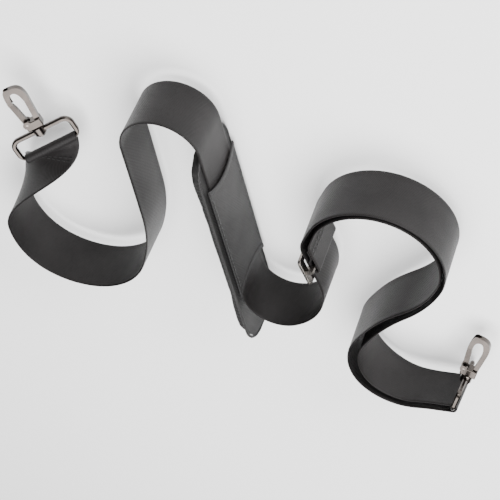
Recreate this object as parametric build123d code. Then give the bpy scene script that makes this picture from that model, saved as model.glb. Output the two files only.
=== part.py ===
from build123d import *
import copy
import math
import os

# Shoulder strap of woven webbing, standing on edge in a serpentine.
# Sizes in millimetres. +Z is up, -Y is the front.

# ---- webbing ----
WEB_W = 50.0          # width of the webbing, which stands upright
WEB_T = 1.6           # thickness of the webbing
RUN_START = (210.0, 75.0)
RUN_HEADING = 109.0
# The main run as (length, turn in degrees) pieces, seen from above.
RUN = [
    (30.0, 24.0),
    (41.0, 42.0),
    (113.0, 93.0),
    (72.0, 25.0),
    (82.0, 1.0),
    (108.0, -178.0),
    (178.0, 0.0),
    (60.0, 113.0),
    (77.0, 78.0),
    (40.0, 0.0),
    (13.0, -41.0),
    (16.0, -1.0),
    (187.0, -179.0),
    (51.0, -23.0),
    (64.0, 19.0),
    (91.0, 95.0),
    (20.0, 30.0),
]
PAD_RUN = 6           # piece of the run that is inside the pad
SLIDER_RUN = 9        # piece of the run that is inside the slider
LAYER_GAP = 7.0       # between the middles of the main and the return layer
LAYER_CLEAR = 0.1     # air between two layers that are sewn together

# ---- end A: the flat end at the first ring, then its twist into the run ----
END_A_AT = (195.0, -23.0, 17.8)     # middle of the webbing where it meets the ring
END_A_BAR = (-32.7, -28.7, -23.1)   # direction of the ring bar
END_A_FLAT = 1.5
END_A_LOW_PULL = (222.5, 16.7, -4.3)     # the low edge bends round this point
END_A_TOP_PULL = (146.2, -4.4, 23.4)
END_A_LOW_REACH = 34.6              # how far before the run the low edge takes its heading
END_A_TOP_REACH = 43.1
END_A_STEPS = 12      # cross-sections in the twist
FLAP_DROP = (4.4, 2.0, 1.8)         # how far the flap stands off, section by section
FOLD_LEAN = 40.0      # slant that brings a sewn flap back to the layer
FLAP = 9.0            # flap length that lies on the layer

# ---- end B: tilted end at the second ring ----
END_B_TWIST = 16.0    # length of webbing that twists into the tilt
END_B_FLAT = 18.0     # flat length before the fold
END_B_ROLL = 18.0     # tilt of the fold line
RING_B_SWING = 69.0   # swing of ring B out of the line of the webbing
RING_A_SWING = -25.0

# ---- swivel ring ----
RING_BAR = 4.4        # thickness of the flat ring
RING_SLOT = WEB_W + 1.4   # length of the slot for the webbing
RING_H = 24.6         # outer height
RING_ROUND = 9.0      # outer corner
RING_EDGE = 1.2       # rounding of the ring edges
SLOT_ROUND = 0.5      # inner corners next to the webbing
BOSS_R = 5.4
BOSS_LOW = 16.6
BOSS_TOP = 24.6
POST_R = 2.0
POST_CLEAR = 0.06

# ---- snap hook ----
HOOK_GAP = 0.3        # air between ring boss and hook base
BASE_H = 8.0
BASE_W = 15.0
BASE_D = 10.0
HOOK_LEN = 44.0       # boss to nose
HOOK_W = 19.0
HOOK_T = 5.6          # thickness of the hook plate
SPINE_W = 4.8
NOSE_W = 4.4
GATE_T = 3.4
GATE_W = 4.2
PIN_R = 1.2
PIN_CLEAR = 0.06
GATE_CLEAR = 0.35
SPRING_WIRE = 0.2
SPRING_R = 1.55
SPRING_H = 1.8
SPRING_TURNS = 2.5
GATE_X = 5.2          # gate pin, sideways from the middle of the hook
GATE_ROOT_R = 2.6
CHEEK_R = 3.6
BASE_EDGE = 1.0
BOSS_EDGE = 0.6
HEAD_R = 3.6
HEAD_H = 2.0
HEAD_EDGE = 0.8
POST_DEPTH = 4.6      # how far the post sits in the hook base
EYE_WIDEST = 0.62     # height of the widest place of the eye
NOSE_AT = 0.66        # height where the nose meets the gate
HOOK_TURN = {"a": 180.0, "b": -90.0}
PLATE_INSET = 1.0     # the hook plate starts this far inside the base block
CROWN_A = (0.42, 1.2)     # outline of the crown: share of the half width, drop from the top
CROWN_B = (0.30, 0.2)
CROWN_PULLS = ((-0.12, 1, 0), (0.1, -1, 0))
EYE_CROWN = (0.12, 0.6)
EYE_PULLS = ((0, 1, 0), (-0.05, -1, 0))
NOSE_RISE = 4.0       # the nose runs straight from here above the widest place
NOSE_OUT = 0.2
EYE_RISE = 3.0
PIN_DROP = 1.6        # gate pin below the top of the base
PIN_SHORT = 0.3       # each pin end below the face of the base
GATE_ROOM = 0.8       # extra slot width that lets the gate swing open
GATE_TIP = 0.4
GATE_HEEL = (0.8, 5.0)
SPRING_AIR = 0.2

# ---- slider ----
SLIDER_L = WEB_W + 16.0
SLIDER_W = 29.0
SLIDER_T = 2.7
SLIDER_BAR = 5.0
SLIDER_AIR = 0.3
SLIDER_END_AIR = 0.6
SLIDER_ROUND = 3.0
CENTRE_BAR_R = 1.7
SLIDER_AT = 22.0      # along its straight piece of the run
LOOP_SLACK = 4.5      # play of the centre bar in the sewn loop
HOLE_ROUND = 1.0
SLIDER_EDGE = 0.6
BAR_SHORT = 3.0       # how much shorter the centre bar is than the frame
LUG_SHORT = 1.5
LUG_SIDE = 0.5

# ---- pad ----
PAD_L = 232.0
PAD_W = WEB_W + 14.0
PAD_FROM = 4.0        # pad end from the start of the straight piece
PAD_ROUND = 24.0
PAD_D = 13.5          # depth of the cushion behind the webbing
PAD_SKIN = 1.2
STRAP_AIR = 0.35      # air between webbing and pad covers
PIPING_R = 1.4
PIPING_AIR = 0.05
SLEEVE_FROM = 34.0
SLEEVE_L = 134.0
SLEEVE_W = WEB_W + 11.0
HEM_DEPTH = 9.0       # how far the curved hems dip
HEM_W = 5.0
HEM_T = 0.5
HEM_AIR = 0.02
HEM_BACK = 0.4        # the binding starts this far behind the hem
HEM_SHORT = 0.5       # each end of the binding inside the edge of the sleeve
ROW_MARGIN = 12.0     # sleeve stitches end this far short of the hems
STITCH_L = 3.0
STITCH_W = 0.7
STITCH_T = 0.3
STITCH_PITCH = 5.0
STITCH_GAP = 0.1
STITCH_EDGE = 3.0
END_A_ROWS = (0.18, 0.22)    # as a share of the twist
STITCH_LIFT = 0.4
LOOP_ROWS = (12.0, 16.0)
SLEEVE_ROW = SLEEVE_W / 2 - 2.5
SLEEVE_AIR = 0.8
FOAM_AIR = 0.1
PAD_EDGE = 5.0


def heading_vec(deg):
    return Vector(math.cos(math.radians(deg)), math.sin(math.radians(deg)), 0)


def left_of(deg):
    return heading_vec(deg + 90.0)


def advance(point, deg, length, turn):
    """End point and heading after one piece of the run."""
    if turn == 0:
        return point + heading_vec(deg) * length, deg
    radius = length / math.radians(turn)
    centre = point + left_of(deg) * radius
    return centre - left_of(deg + turn) * radius, deg + turn


def run_states(pieces, point, deg):
    states = [(point, deg)]
    for length, turn in pieces:
        point, deg = advance(point, deg, length, turn)
        states.append((point, deg))
    return states


def side_edges(pieces, point, deg, offset):
    """Edges of a run shifted sideways, offset counted to the left."""
    edges = []
    for length, turn in pieces:
        start = point + left_of(deg) * offset
        end_point, end_deg = advance(point, deg, length, turn)
        finish = end_point + left_of(end_deg) * offset
        if turn == 0:
            edges.append(Edge.make_line(start, finish))
        else:
            half_point, half_deg = advance(point, deg, length / 2, turn / 2)
            middle = half_point + left_of(half_deg) * offset
            edges.append(Edge.make_three_point_arc(start, middle, finish))
        point, deg = end_point, end_deg
    return edges


def band(pieces, point, deg, offset, thick, low, high):
    """Upright band that follows a run."""
    outer = side_edges(pieces, point, deg, offset + thick / 2)
    inner = side_edges(pieces, point, deg, offset - thick / 2)
    end_point, end_deg = run_states(pieces, point, deg)[-1]
    near = Edge.make_line(
        point + left_of(deg) * (offset + thick / 2),
        point + left_of(deg) * (offset - thick / 2),
    )
    far = Edge.make_line(
        end_point + left_of(end_deg) * (offset + thick / 2),
        end_point + left_of(end_deg) * (offset - thick / 2),
    )
    wire = Wire(outer + inner + [near, far])
    face = Face(wire).moved(Location((0, 0, low)))
    return Solid.extrude(face, Vector(0, 0, high - low))


def quad(low, top, along):
    """Cross-section of the webbing between its two edges."""
    half = (top - low).cross(along).normalized() * (WEB_T / 2)
    wire = Wire.make_polygon([low + half, top + half, top - half, low - half], close=True)
    return Face(wire)


def twisted(sections):
    """Webbing that turns from one cross-section to the next."""
    return Solid.make_loft([face.outer_wire() for face in sections], ruled=True)


def placed(solid, plane):
    return solid.moved(plane.location)


def fold_pieces(flat, radius, turn_sign, slack):
    """Flat run, loose fold round a bar, and the flap back onto the layer."""
    lean = math.radians(FOLD_LEAN)
    gap = WEB_T + LAYER_CLEAR
    slant = (2 * radius * math.cos(lean) - gap) / math.sin(lean)
    arc = radius * lean
    return [
        (flat, 0.0),
        (math.pi * radius, 180.0 * turn_sign),
        (2 * slack, 0.0),
        (arc, FOLD_LEAN * turn_sign),
        (slant, 0.0),
        (arc, -FOLD_LEAN * turn_sign),
        (FLAP, 0.0),
    ]


STATES = run_states(RUN, Vector(*RUN_START, 0), RUN_HEADING)
MID = WEB_W / 2
FOLD_R = LAYER_GAP / 2


def end_a_plane():
    """x into the webbing, z along the ring bar, origin on the main layer."""
    bar = Vector(*END_A_BAR).normalized()
    along = (Vector(*END_A_LOW_PULL) + Vector(*END_A_TOP_PULL)) * 0.5 - Vector(*END_A_AT)
    along = (along - bar * along.dot(bar)).normalized()
    return Plane(origin=Vector(*END_A_AT), x_dir=along, z_dir=bar)


def end_a_edges():
    """Control points of the low and the top edge of the twist."""
    end = end_a_plane()
    first = end.origin + end.x_dir * END_A_FLAT
    low_end = STATES[0][0]
    top_end = low_end + Vector(0, 0, WEB_W)
    heading = heading_vec(RUN_HEADING)
    lows = [first - end.z_dir * MID, Vector(*END_A_LOW_PULL),
            low_end - heading * END_A_LOW_REACH, low_end]
    tops = [first + end.z_dir * MID, Vector(*END_A_TOP_PULL),
            top_end - heading * END_A_TOP_REACH, top_end]
    return lows, tops


def curve_point(points, share):
    rest = 1.0 - share
    start, first, second, finish = points
    middle = first * (3 * rest * rest * share) + second * (3 * rest * share * share)
    return start * rest ** 3 + middle + finish * share ** 3


def curve_pull(points, share):
    rest = 1.0 - share
    start, first, second, finish = points
    pull = (first - start) * (rest * rest) + (second - first) * (2 * rest * share)
    return pull + (finish - second) * (share * share)


def end_a_quad(share, offset):
    """Cross-section of the twist, moved off the main layer by the offset."""
    lows, tops = end_a_edges()
    low = curve_point(lows, share)
    top = curve_point(tops, share)
    along = curve_pull(lows, share) + curve_pull(tops, share)
    shift = (top - low).cross(along).normalized() * offset
    return quad(low + shift, top + shift, along)


def end_b_plane():
    """x along the run, z along the tilted ring bar, origin where the tilt is reached."""
    point, deg = STATES[-1]
    roll = math.radians(END_B_ROLL)
    bar = Vector(0, 0, 1) * math.cos(roll) + left_of(deg) * math.sin(roll)
    origin = point + heading_vec(deg) * END_B_TWIST + Vector(0, 0, MID)
    return Plane(origin=origin, x_dir=heading_vec(deg), z_dir=bar)


def ring_plane(bar_at, bar, out, swing):
    """x along the bar, y outward, turned about the bar by the swing."""
    plane = Plane(origin=bar_at, x_dir=bar, z_dir=bar.cross(out))
    return Plane(origin=bar_at, x_dir=bar, z_dir=plane.z_dir.rotate(Axis((0, 0, 0), bar), swing))


def ring_a_plane():
    end = end_a_plane()
    centre = end.origin - end.y_dir * FOLD_R
    return ring_plane(centre, end.z_dir, -end.x_dir, RING_A_SWING)


def ring_b_plane():
    end = end_b_plane()
    centre = end.origin + end.x_dir * END_B_FLAT - end.y_dir * FOLD_R
    return ring_plane(centre, end.z_dir, end.x_dir, RING_B_SWING)


def slider_plane():
    point, deg = STATES[SLIDER_RUN]
    origin = point + heading_vec(deg) * SLIDER_AT + Vector(0, 0, MID)
    return Plane(origin=origin, x_dir=heading_vec(deg), z_dir=Vector(0, 0, 1))


def pad_plane():
    """x along the run, y up, z away from the sleeve."""
    point, deg = STATES[PAD_RUN]
    return Plane(origin=point + Vector(0, 0, MID), x_dir=heading_vec(deg), z_dir=-left_of(deg))


def webbing():
    start = Vector(0, 0, 0)
    end_a = end_a_plane()
    end_b = end_b_plane()
    # end A: the flap lies on the -y side of the local plane
    pieces = [(END_A_FLAT, 0.0), (math.pi * FOLD_R, 180.0), (END_A_FLAT, 0.0)]
    fold_a = band(pieces, Vector(END_A_FLAT, 0, 0), 180.0, 0.0, WEB_T, -MID, MID)
    fold_a = placed(fold_a, end_a)
    turn_a = twisted([end_a_quad(k / END_A_STEPS, 0.0) for k in range(END_A_STEPS + 1)])
    drops = (LAYER_GAP,) + FLAP_DROP
    flap_a = twisted([end_a_quad(k / END_A_STEPS, -drop) for k, drop in enumerate(drops)])
    main = band(RUN, STATES[0][0], RUN_HEADING, 0.0, WEB_T, 0.0, WEB_W)
    # end B: two layers twist into the tilt and fold round the bar
    point, deg = STATES[-1]
    pieces = [(END_B_FLAT, 0.0), (math.pi * FOLD_R, -180.0), (END_B_FLAT, 0.0)]
    fold_b = placed(band(pieces, start, 0.0, 0.0, WEB_T, -MID, MID), end_b)
    turns_b = []
    for shift in (0.0, -LAYER_GAP):
        foot = point + left_of(deg) * shift
        tilt = end_b.origin + end_b.y_dir * shift
        turns_b.append(twisted([
            quad(foot, foot + Vector(0, 0, WEB_W), heading_vec(deg)),
            quad(tilt - end_b.z_dir * MID, tilt + end_b.z_dir * MID, end_b.x_dir),
        ]))
    # return layer and its sewn loop on the slider
    back_point, back_deg = STATES[SLIDER_RUN + 1]
    back = band(RUN[SLIDER_RUN + 1:], back_point, back_deg, -LAYER_GAP, WEB_T, 0.0, WEB_W)
    loop_r = CENTRE_BAR_R + LAYER_CLEAR + WEB_T / 2
    reach = RUN[SLIDER_RUN][0] - SLIDER_AT + LOOP_SLACK
    loop_from = back_point - left_of(back_deg) * LAYER_GAP
    loop = band(fold_pieces(reach, loop_r, -1.0, LOOP_SLACK), loop_from, back_deg + 180.0,
                0.0, WEB_T, 0.0, WEB_W)
    first_end = fold_a.fuse(flap_a).fuse(turn_a)
    solid = main
    for piece in turns_b + [fold_b, back, loop, first_end]:
        solid = solid.fuse(piece)
    return solid


def stitch_row(plane, start, step, count, height):
    """Row of stitches that lies on a flat cover, in the local x-y plane."""
    stitches = []
    for k in range(count):
        x = start[0] + step[0] * k
        y = start[1] + step[1] * k
        turn = math.degrees(math.atan2(step[1], step[0]))
        bar = Solid.make_box(STITCH_L, STITCH_W, STITCH_T)
        bar = bar.moved(Location((-STITCH_L / 2, -STITCH_W / 2, 0)))
        bar = bar.moved(Location((x, y, height), (0, 0, turn)))
        stitches.append(placed(bar, plane))
    return stitches


def end_a_stitching():
    """Two rows of stitches across the flap at end A, each flat on the twist."""
    lows, tops = end_a_edges()
    count = int((WEB_W - 2 * STITCH_EDGE) / STITCH_PITCH) + 1
    rows = []
    for share in END_A_ROWS:
        low = curve_point(lows, share)
        top = curve_point(tops, share)
        across = (top - low).normalized()
        low_pull = curve_pull(lows, share)
        top_pull = curve_pull(tops, share)
        out = across.cross(low_pull + top_pull).normalized() * (WEB_T / 2 + FLAP_DROP[-2])
        for k in range(count):
            place = 0.5 + (k - (count - 1) / 2) * STITCH_PITCH / WEB_W
            pull = low_pull * (1.0 - place) + top_pull * place
            origin = low * (1.0 - place) + top * place - out
            face = Plane(origin=origin, x_dir=across, z_dir=-across.cross(pull))
            rows += stitch_row(face, (0.0, 0.0), (1.0, 0.0), 1, STITCH_LIFT)
    return Compound(children=rows)


def slider_stitching():
    """Stitches that hold the loop of the return layer, on its outer face."""
    plane = slider_plane()
    face = Plane(origin=plane.origin, x_dir=plane.x_dir, z_dir=-plane.y_dir)
    height = LAYER_GAP + WEB_T / 2 + STITCH_GAP
    rows = []
    for x in LOOP_ROWS:
        count = int((WEB_W - 2 * STITCH_EDGE) / STITCH_PITCH) + 1
        first = -(count - 1) * STITCH_PITCH / 2
        rows += stitch_row(face, (x, first), (0.0, STITCH_PITCH), count, height)
    return Compound(children=rows)


def rounded_bar(length, width, depth, edge):
    """Bar centred on the origin with all edges rounded."""
    bar = Solid.make_box(length, width, depth)
    bar = bar.moved(Location((-length / 2, -width / 2, -depth / 2)))
    return bar.fillet(edge, bar.edges())


def rounded_plate(length, width, corner, low, high):
    """Flat plate with rounded corners, centred in x and y."""
    face = Face.make_rect(length, width)
    face = face.fillet_2d(corner, face.vertices())
    return Solid.extrude(face.moved(Location((0, 0, low))), Vector(0, 0, high - low))


def cylinder_between(start, along, length, radius):
    return Solid.make_cylinder(radius, length, Plane(origin=start, z_dir=along))


def swivel_ring():
    """Flat ring with a boss for the hook, bar on the x axis."""
    length = RING_SLOT + 2 * RING_BAR
    middle = RING_H / 2 - RING_BAR / 2
    plate = rounded_plate(length, RING_H, RING_ROUND, -RING_BAR / 2, RING_BAR / 2)
    slot = Face.make_rect(RING_SLOT, RING_H - 2 * RING_BAR)
    corners = slot.vertices().sort_by(Axis.Y)
    slot = slot.fillet_2d(RING_ROUND - RING_BAR, corners[2:4])
    corners = slot.vertices().sort_by(Axis.Y)
    slot = slot.fillet_2d(SLOT_ROUND, corners[0:2])
    slot = slot.moved(Location((0, 0, -RING_BAR)))
    slot = Solid.extrude(slot, Vector(0, 0, 2 * RING_BAR))
    ring = plate.cut(slot)
    ring = ring.chamfer(RING_EDGE, None, ring.edges().filter_by(GeomType.LINE).filter_by(Axis.X))
    ring = ring.moved(Location((0, middle, 0)))
    boss = cylinder_between((0, BOSS_LOW, 0), (0, 1, 0), BOSS_TOP - BOSS_LOW, BOSS_R)
    boss = boss.chamfer(BOSS_EDGE, None, boss.edges().filter_by(GeomType.CIRCLE))
    bore = cylinder_between((0, BOSS_LOW - 1, 0), (0, 1, 0), BOSS_TOP - BOSS_LOW + 2,
                            POST_R + POST_CLEAR)
    ring = ring.fuse(boss)
    return ring.cut(bore)


def swivel_post():
    """Riveted post, head inside the ring, shank in the hook base."""
    top = BOSS_TOP + HOOK_GAP + POST_DEPTH
    head_low = BOSS_LOW - POST_CLEAR - HEAD_H
    shank = cylinder_between((0, head_low + HEAD_H, 0), (0, 1, 0), top - head_low - HEAD_H, POST_R)
    head = cylinder_between((0, head_low, 0), (0, 1, 0), HEAD_H, HEAD_R)
    head = head.chamfer(HEAD_EDGE, None, head.edges().filter_by(GeomType.CIRCLE).sort_by(Axis.Y)[0:1])
    return shank.fuse(head)


def hook_low():
    return BOSS_TOP + HOOK_GAP


def hook_body():
    """Hook with a teardrop eye, open on the +x side for the gate."""
    y0 = hook_low()
    y1 = y0 + BASE_H
    y_in = y0 + PLATE_INSET
    top = y0 + HOOK_LEN
    wide = y0 + HOOK_LEN * EYE_WIDEST
    half = HOOK_W / 2
    lip = y0 + HOOK_LEN * NOSE_AT
    outer = [
        Edge.make_line((-BASE_W / 2 + PLATE_INSET, y_in, 0), (-half, wide, 0)),
        Edge.make_spline([(-half, wide, 0), (-half * CROWN_A[0], top - CROWN_A[1], 0),
                          (half * CROWN_B[0], top - CROWN_B[1], 0), (half, wide + NOSE_RISE, 0)],
                         tangents=CROWN_PULLS),
        Edge.make_line((half, wide + NOSE_RISE, 0), (half + NOSE_OUT, lip, 0)),
        Edge.make_line((half + NOSE_OUT, lip, 0), (half - NOSE_W, lip, 0)),
        Edge.make_line((half - NOSE_W, lip, 0), (half - NOSE_W, wide + EYE_RISE, 0)),
        Edge.make_spline([(half - NOSE_W, wide + EYE_RISE, 0),
                          (half * EYE_CROWN[0], top - SPINE_W - EYE_CROWN[1], 0),
                          (-half + SPINE_W, wide, 0)],
                         tangents=EYE_PULLS),
        Edge.make_line((-half + SPINE_W, wide, 0), (-BASE_W / 2 + SPINE_W, y1, 0)),
        Edge.make_line((-BASE_W / 2 + SPINE_W, y1, 0), (-BASE_W / 2 + SPINE_W, y_in, 0)),
        Edge.make_line((-BASE_W / 2 + SPINE_W, y_in, 0), (-BASE_W / 2 + PLATE_INSET, y_in, 0)),
    ]
    plate = Solid.extrude(Face(Wire(outer)).moved(Location((0, 0, -HOOK_T / 2))),
                          Vector(0, 0, HOOK_T))
    base = rounded_bar(BASE_W, BASE_H, BASE_D, BASE_EDGE).moved(Location((0, y0 + BASE_H / 2, 0)))
    cheek = Solid.make_cylinder(CHEEK_R, BASE_D, Plane(origin=(GATE_X, gate_y(), -BASE_D / 2),
                                                         z_dir=(0, 0, 1)))
    base = base.fuse(cheek)
    slot_x = GATE_X - GATE_ROOT_R - GATE_CLEAR
    slot_y = gate_y() - GATE_ROOT_R - GATE_CLEAR
    depth = GATE_T + 2 * GATE_CLEAR
    slot = Solid.make_box(HOOK_W, HOOK_LEN, depth).moved(Location((slot_x, slot_y, -depth / 2)))
    room = Solid.make_box(HOOK_W, HOOK_LEN, depth)
    room = room.moved(Location((slot_x - GATE_ROOM, gate_y(), -depth / 2)))
    body = plate.fuse(base).cut(slot).cut(room)
    post_bore = cylinder_between((0, y0 - 1, 0), (0, 1, 0), POST_DEPTH + 1, POST_R)
    pin_bore = Solid.make_cylinder(PIN_R, 2 * BASE_D, Plane(origin=(GATE_X, gate_y(), -BASE_D),
                                                              z_dir=(0, 0, 1)))
    return body.cut(post_bore).cut(pin_bore)


def gate_y():
    return hook_low() + BASE_H - PIN_DROP


def gate():
    """Wedge-shaped gate that turns about its pin."""
    y0 = gate_y()
    lip = hook_low() + HOOK_LEN * NOSE_AT - GATE_CLEAR
    half = HOOK_W / 2
    root = Solid.make_cylinder(GATE_ROOT_R, GATE_T, Plane(origin=(GATE_X, y0, -GATE_T / 2),
                                                            z_dir=(0, 0, 1)))
    outline = Wire.make_polygon([
        (GATE_X - GATE_ROOT_R, y0, 0),
        (GATE_X + GATE_ROOT_R, y0, 0),
        (half + NOSE_OUT, lip, 0),
        (half - NOSE_W + GATE_TIP, lip, 0),
        (half - NOSE_W - GATE_HEEL[0], lip - GATE_HEEL[1], 0),
    ], close=True)
    lever = Solid.extrude(Face(outline).moved(Location((0, 0, -GATE_T / 2))), Vector(0, 0, GATE_T))
    body = root.fuse(lever)
    bore = Solid.make_cylinder(PIN_R + PIN_CLEAR, 2 * BASE_D, Plane(origin=(GATE_X, y0, -BASE_D),
                                                                      z_dir=(0, 0, 1)))
    pocket = Solid.make_cylinder(SPRING_R + SPRING_WIRE + SPRING_AIR, SPRING_H,
                                 Plane(origin=(GATE_X, y0, -SPRING_H / 2), z_dir=(0, 0, 1)))
    return body.cut(bore).cut(pocket)


def gate_pin():
    low = -BASE_D / 2 + PIN_SHORT
    return Solid.make_cylinder(PIN_R, BASE_D - 2 * PIN_SHORT,
                               Plane(origin=(GATE_X, gate_y(), low), z_dir=(0, 0, 1)))


def gate_spring():
    """Coil on the pin, in a pocket of the gate root."""
    pitch = (SPRING_H - 4 * SPRING_WIRE) / SPRING_TURNS
    path = Edge.make_helix(pitch, pitch * SPRING_TURNS, SPRING_R)
    start = path.position_at(0)
    profile = Wire.make_circle(SPRING_WIRE, Plane(origin=start, z_dir=path.tangent_at(0)))
    coil = Solid.sweep(Face(profile), path)
    return coil.moved(Location((GATE_X, gate_y(), -pitch * SPRING_TURNS / 2)))


def slider():
    """Flat frame with two outer bars and a set-back centre bar."""
    near = WEB_T / 2 + SLIDER_AIR
    frame = rounded_plate(SLIDER_W, SLIDER_L, SLIDER_ROUND, 0, SLIDER_T)
    hole_l = WEB_W + 2 * SLIDER_END_AIR
    hole = rounded_plate(SLIDER_W - 2 * SLIDER_BAR, hole_l, HOLE_ROUND, -1, SLIDER_T + 1)
    frame = frame.cut(hole)
    frame = frame.fillet(SLIDER_EDGE, frame.edges())
    frame = frame.moved(Location((0, near, 0), (-90, 0, 0)))
    centre = -(LAYER_GAP - CENTRE_BAR_R - LAYER_CLEAR - WEB_T / 2)
    bar_l = SLIDER_L - BAR_SHORT
    bar = Solid.make_cylinder(CENTRE_BAR_R, bar_l,
                              Plane(origin=(0, centre, -bar_l / 2), z_dir=(0, 0, 1)))
    body = frame.fuse(bar)
    lug_h = (SLIDER_L - hole_l) / 2 - LUG_SHORT
    for side in (-1, 1):
        lug = Solid.make_box(2 * CENTRE_BAR_R + 2 * LUG_SIDE, near + SLIDER_T - centre, lug_h)
        low = hole_l / 2 if side > 0 else -hole_l / 2 - lug_h
        body = body.fuse(lug.moved(Location((-CENTRE_BAR_R - LUG_SIDE, centre, low))))
    return body


def pad_plate(inset, low, high):
    plate = rounded_plate(PAD_L - 2 * inset, PAD_W - 2 * inset, PAD_ROUND - inset, low, high)
    return plate.moved(Location((PAD_FROM + PAD_L / 2, 0, 0)))


def pad_back_cover():
    """Ribbed anti-slip cover, a dish that holds the foam."""
    low = front_top()
    dish = pad_plate(0.0, low, PAD_D)
    back = dish.faces().sort_by(Axis.Z)[-1]
    dish = dish.fillet(PAD_EDGE, back.edges())
    hollow = pad_plate(PAD_SKIN, low - 1, PAD_D - PAD_SKIN)
    floor = hollow.faces().sort_by(Axis.Z)[-1]
    return dish.cut(hollow.fillet(PAD_EDGE - PAD_SKIN, floor.edges()))


def front_top():
    return WEB_T / 2 + STRAP_AIR + PAD_SKIN


def pad_foam():
    low = front_top() + FOAM_AIR
    foam = pad_plate(PAD_SKIN + FOAM_AIR, low, PAD_D - PAD_SKIN - FOAM_AIR)
    back = foam.faces().sort_by(Axis.Z)[-1]
    return foam.fillet(PAD_EDGE, back.edges())


def pad_front_cover():
    return pad_plate(0.0, WEB_T / 2 + STRAP_AIR, front_top())


def pad_piping():
    """Cord sewn round the rim where the covers meet."""
    out = PIPING_R + PIPING_AIR
    rim = Face.make_rect(PAD_L + 2 * out, PAD_W + 2 * out)
    rim = rim.fillet_2d(PAD_ROUND + out, rim.vertices()).outer_wire()
    rim = rim.moved(Location((PAD_FROM + PAD_L / 2, 0, front_top())))
    profile = Wire.make_circle(PIPING_R, Plane(origin=rim.position_at(0), z_dir=rim.tangent_at(0)))
    return Solid.sweep(Face(profile), rim)


def hem_cutter(end_x, side, low, high, grow):
    """Round tool that dips into the sleeve from one end."""
    half = SLEEVE_W / 2
    radius = (half * half + HEM_DEPTH * HEM_DEPTH) / (2 * HEM_DEPTH)
    centre = end_x - side * (radius - HEM_DEPTH)
    return Solid.make_cylinder(radius + grow, high - low, Plane(origin=(centre, 0, low),
                                                                 z_dir=(0, 0, 1)))


def pad_sleeve():
    """Bridge over the webbing, open at both ends, with curved hems."""
    outer = -(WEB_T / 2 + STRAP_AIR + PAD_SKIN)
    inner = -(WEB_T / 2 + STRAP_AIR)
    rest = -inner
    top = Solid.make_box(SLEEVE_L, SLEEVE_W, inner - outer)
    top = top.moved(Location((SLEEVE_FROM, -SLEEVE_W / 2, outer)))
    flank_w = SLEEVE_W / 2 - WEB_W / 2 - SLEEVE_AIR
    sleeve = top
    for side in (-1, 1):
        flank = Solid.make_box(SLEEVE_L, flank_w, rest - inner)
        low = WEB_W / 2 + SLEEVE_AIR if side > 0 else -SLEEVE_W / 2
        sleeve = sleeve.fuse(flank.moved(Location((SLEEVE_FROM, low, inner))))
    for end_x, side in ((SLEEVE_FROM, 1), (SLEEVE_FROM + SLEEVE_L, -1)):
        sleeve = sleeve.cut(hem_cutter(end_x, side, outer - 1, rest + 1, 0.0))
    return sleeve


def pad_hems():
    """Binding strips that follow the two curved hems."""
    outer = -(WEB_T / 2 + STRAP_AIR + PAD_SKIN)
    low = outer - HEM_T - HEM_AIR
    strips = []
    for end_x, side in ((SLEEVE_FROM, 1), (SLEEVE_FROM + SLEEVE_L, -1)):
        wide = hem_cutter(end_x, side, low, low + HEM_T, HEM_W)
        strip = wide.cut(hem_cutter(end_x, side, low - 1, low + 1, HEM_BACK))
        keep = Solid.make_box(HEM_DEPTH + HEM_W, SLEEVE_W - 2 * HEM_SHORT, 8 * HEM_T)
        x = end_x if side > 0 else end_x - HEM_DEPTH - HEM_W
        strip = strip.intersect(keep.moved(Location((x, -SLEEVE_W / 2 + HEM_SHORT, low - 4 * HEM_T))))
        strips += strip.solids() if hasattr(strip, "solids") else list(strip)
    return Compound(children=strips)


def pad_stitching():
    """Stitch rows along both flanks of the sleeve."""
    outer = WEB_T / 2 + STRAP_AIR + PAD_SKIN
    plane = Plane(origin=(0, 0, 0), x_dir=(1, 0, 0), z_dir=(0, 0, -1))
    rows = []
    count = int((SLEEVE_L - 2 * HEM_W - ROW_MARGIN) / STITCH_PITCH)
    for y in (-SLEEVE_ROW, SLEEVE_ROW):
        first = SLEEVE_FROM + (SLEEVE_L - (count - 1) * STITCH_PITCH) / 2
        rows += stitch_row(plane, (first, y), (STITCH_PITCH, 0.0), count, outer + STITCH_GAP)
    return Compound(children=rows)


def build():
    parts = {}
    parts["webbing"] = webbing()
    parts["end_a_stitching"] = end_a_stitching()
    parts["slider_stitching"] = slider_stitching()
    parts["slider"] = placed(slider(), slider_plane())
    for name, plane in (("a", ring_a_plane()), ("b", ring_b_plane())):
        parts["swivel_ring_" + name] = placed(swivel_ring(), plane)
        turned = plane.location * Location((0, 0, 0), (0, HOOK_TURN[name], 0))
        parts["swivel_post_" + name] = swivel_post().moved(turned)
        parts["hook_body_" + name] = hook_body().moved(turned)
        parts["hook_gate_" + name] = gate().moved(turned)
        parts["gate_pin_" + name] = gate_pin().moved(turned)
        parts["gate_spring_" + name] = gate_spring().moved(turned)
    pad = pad_plane()
    parts["pad_back_cover"] = placed(pad_back_cover(), pad)
    parts["pad_foam"] = placed(pad_foam(), pad)
    parts["pad_front_cover"] = placed(pad_front_cover(), pad)
    parts["pad_piping"] = placed(pad_piping(), pad)
    parts["pad_sleeve"] = placed(pad_sleeve(), pad)
    parts["pad_hems"] = placed(pad_hems(), pad)
    parts["pad_stitching"] = placed(pad_stitching(), pad)
    return parts


def main():
    parts = build()
    box = Compound(children=[copy.copy(p) for p in parts.values()]).bounding_box()
    shift = Location((-(box.min.X + box.max.X) / 2, -(box.min.Y + box.max.Y) / 2, -box.min.Z))
    os.makedirs("parts", exist_ok=True)
    for name, shape in parts.items():
        moved = shape.moved(shift)
        moved.label = name
        export_step(moved, "parts/" + name + ".step")


if __name__ == "__main__":
    main()
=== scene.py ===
"""Padded webbing shoulder strap with two swivel snap hooks, standing on edge."""
import math

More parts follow.
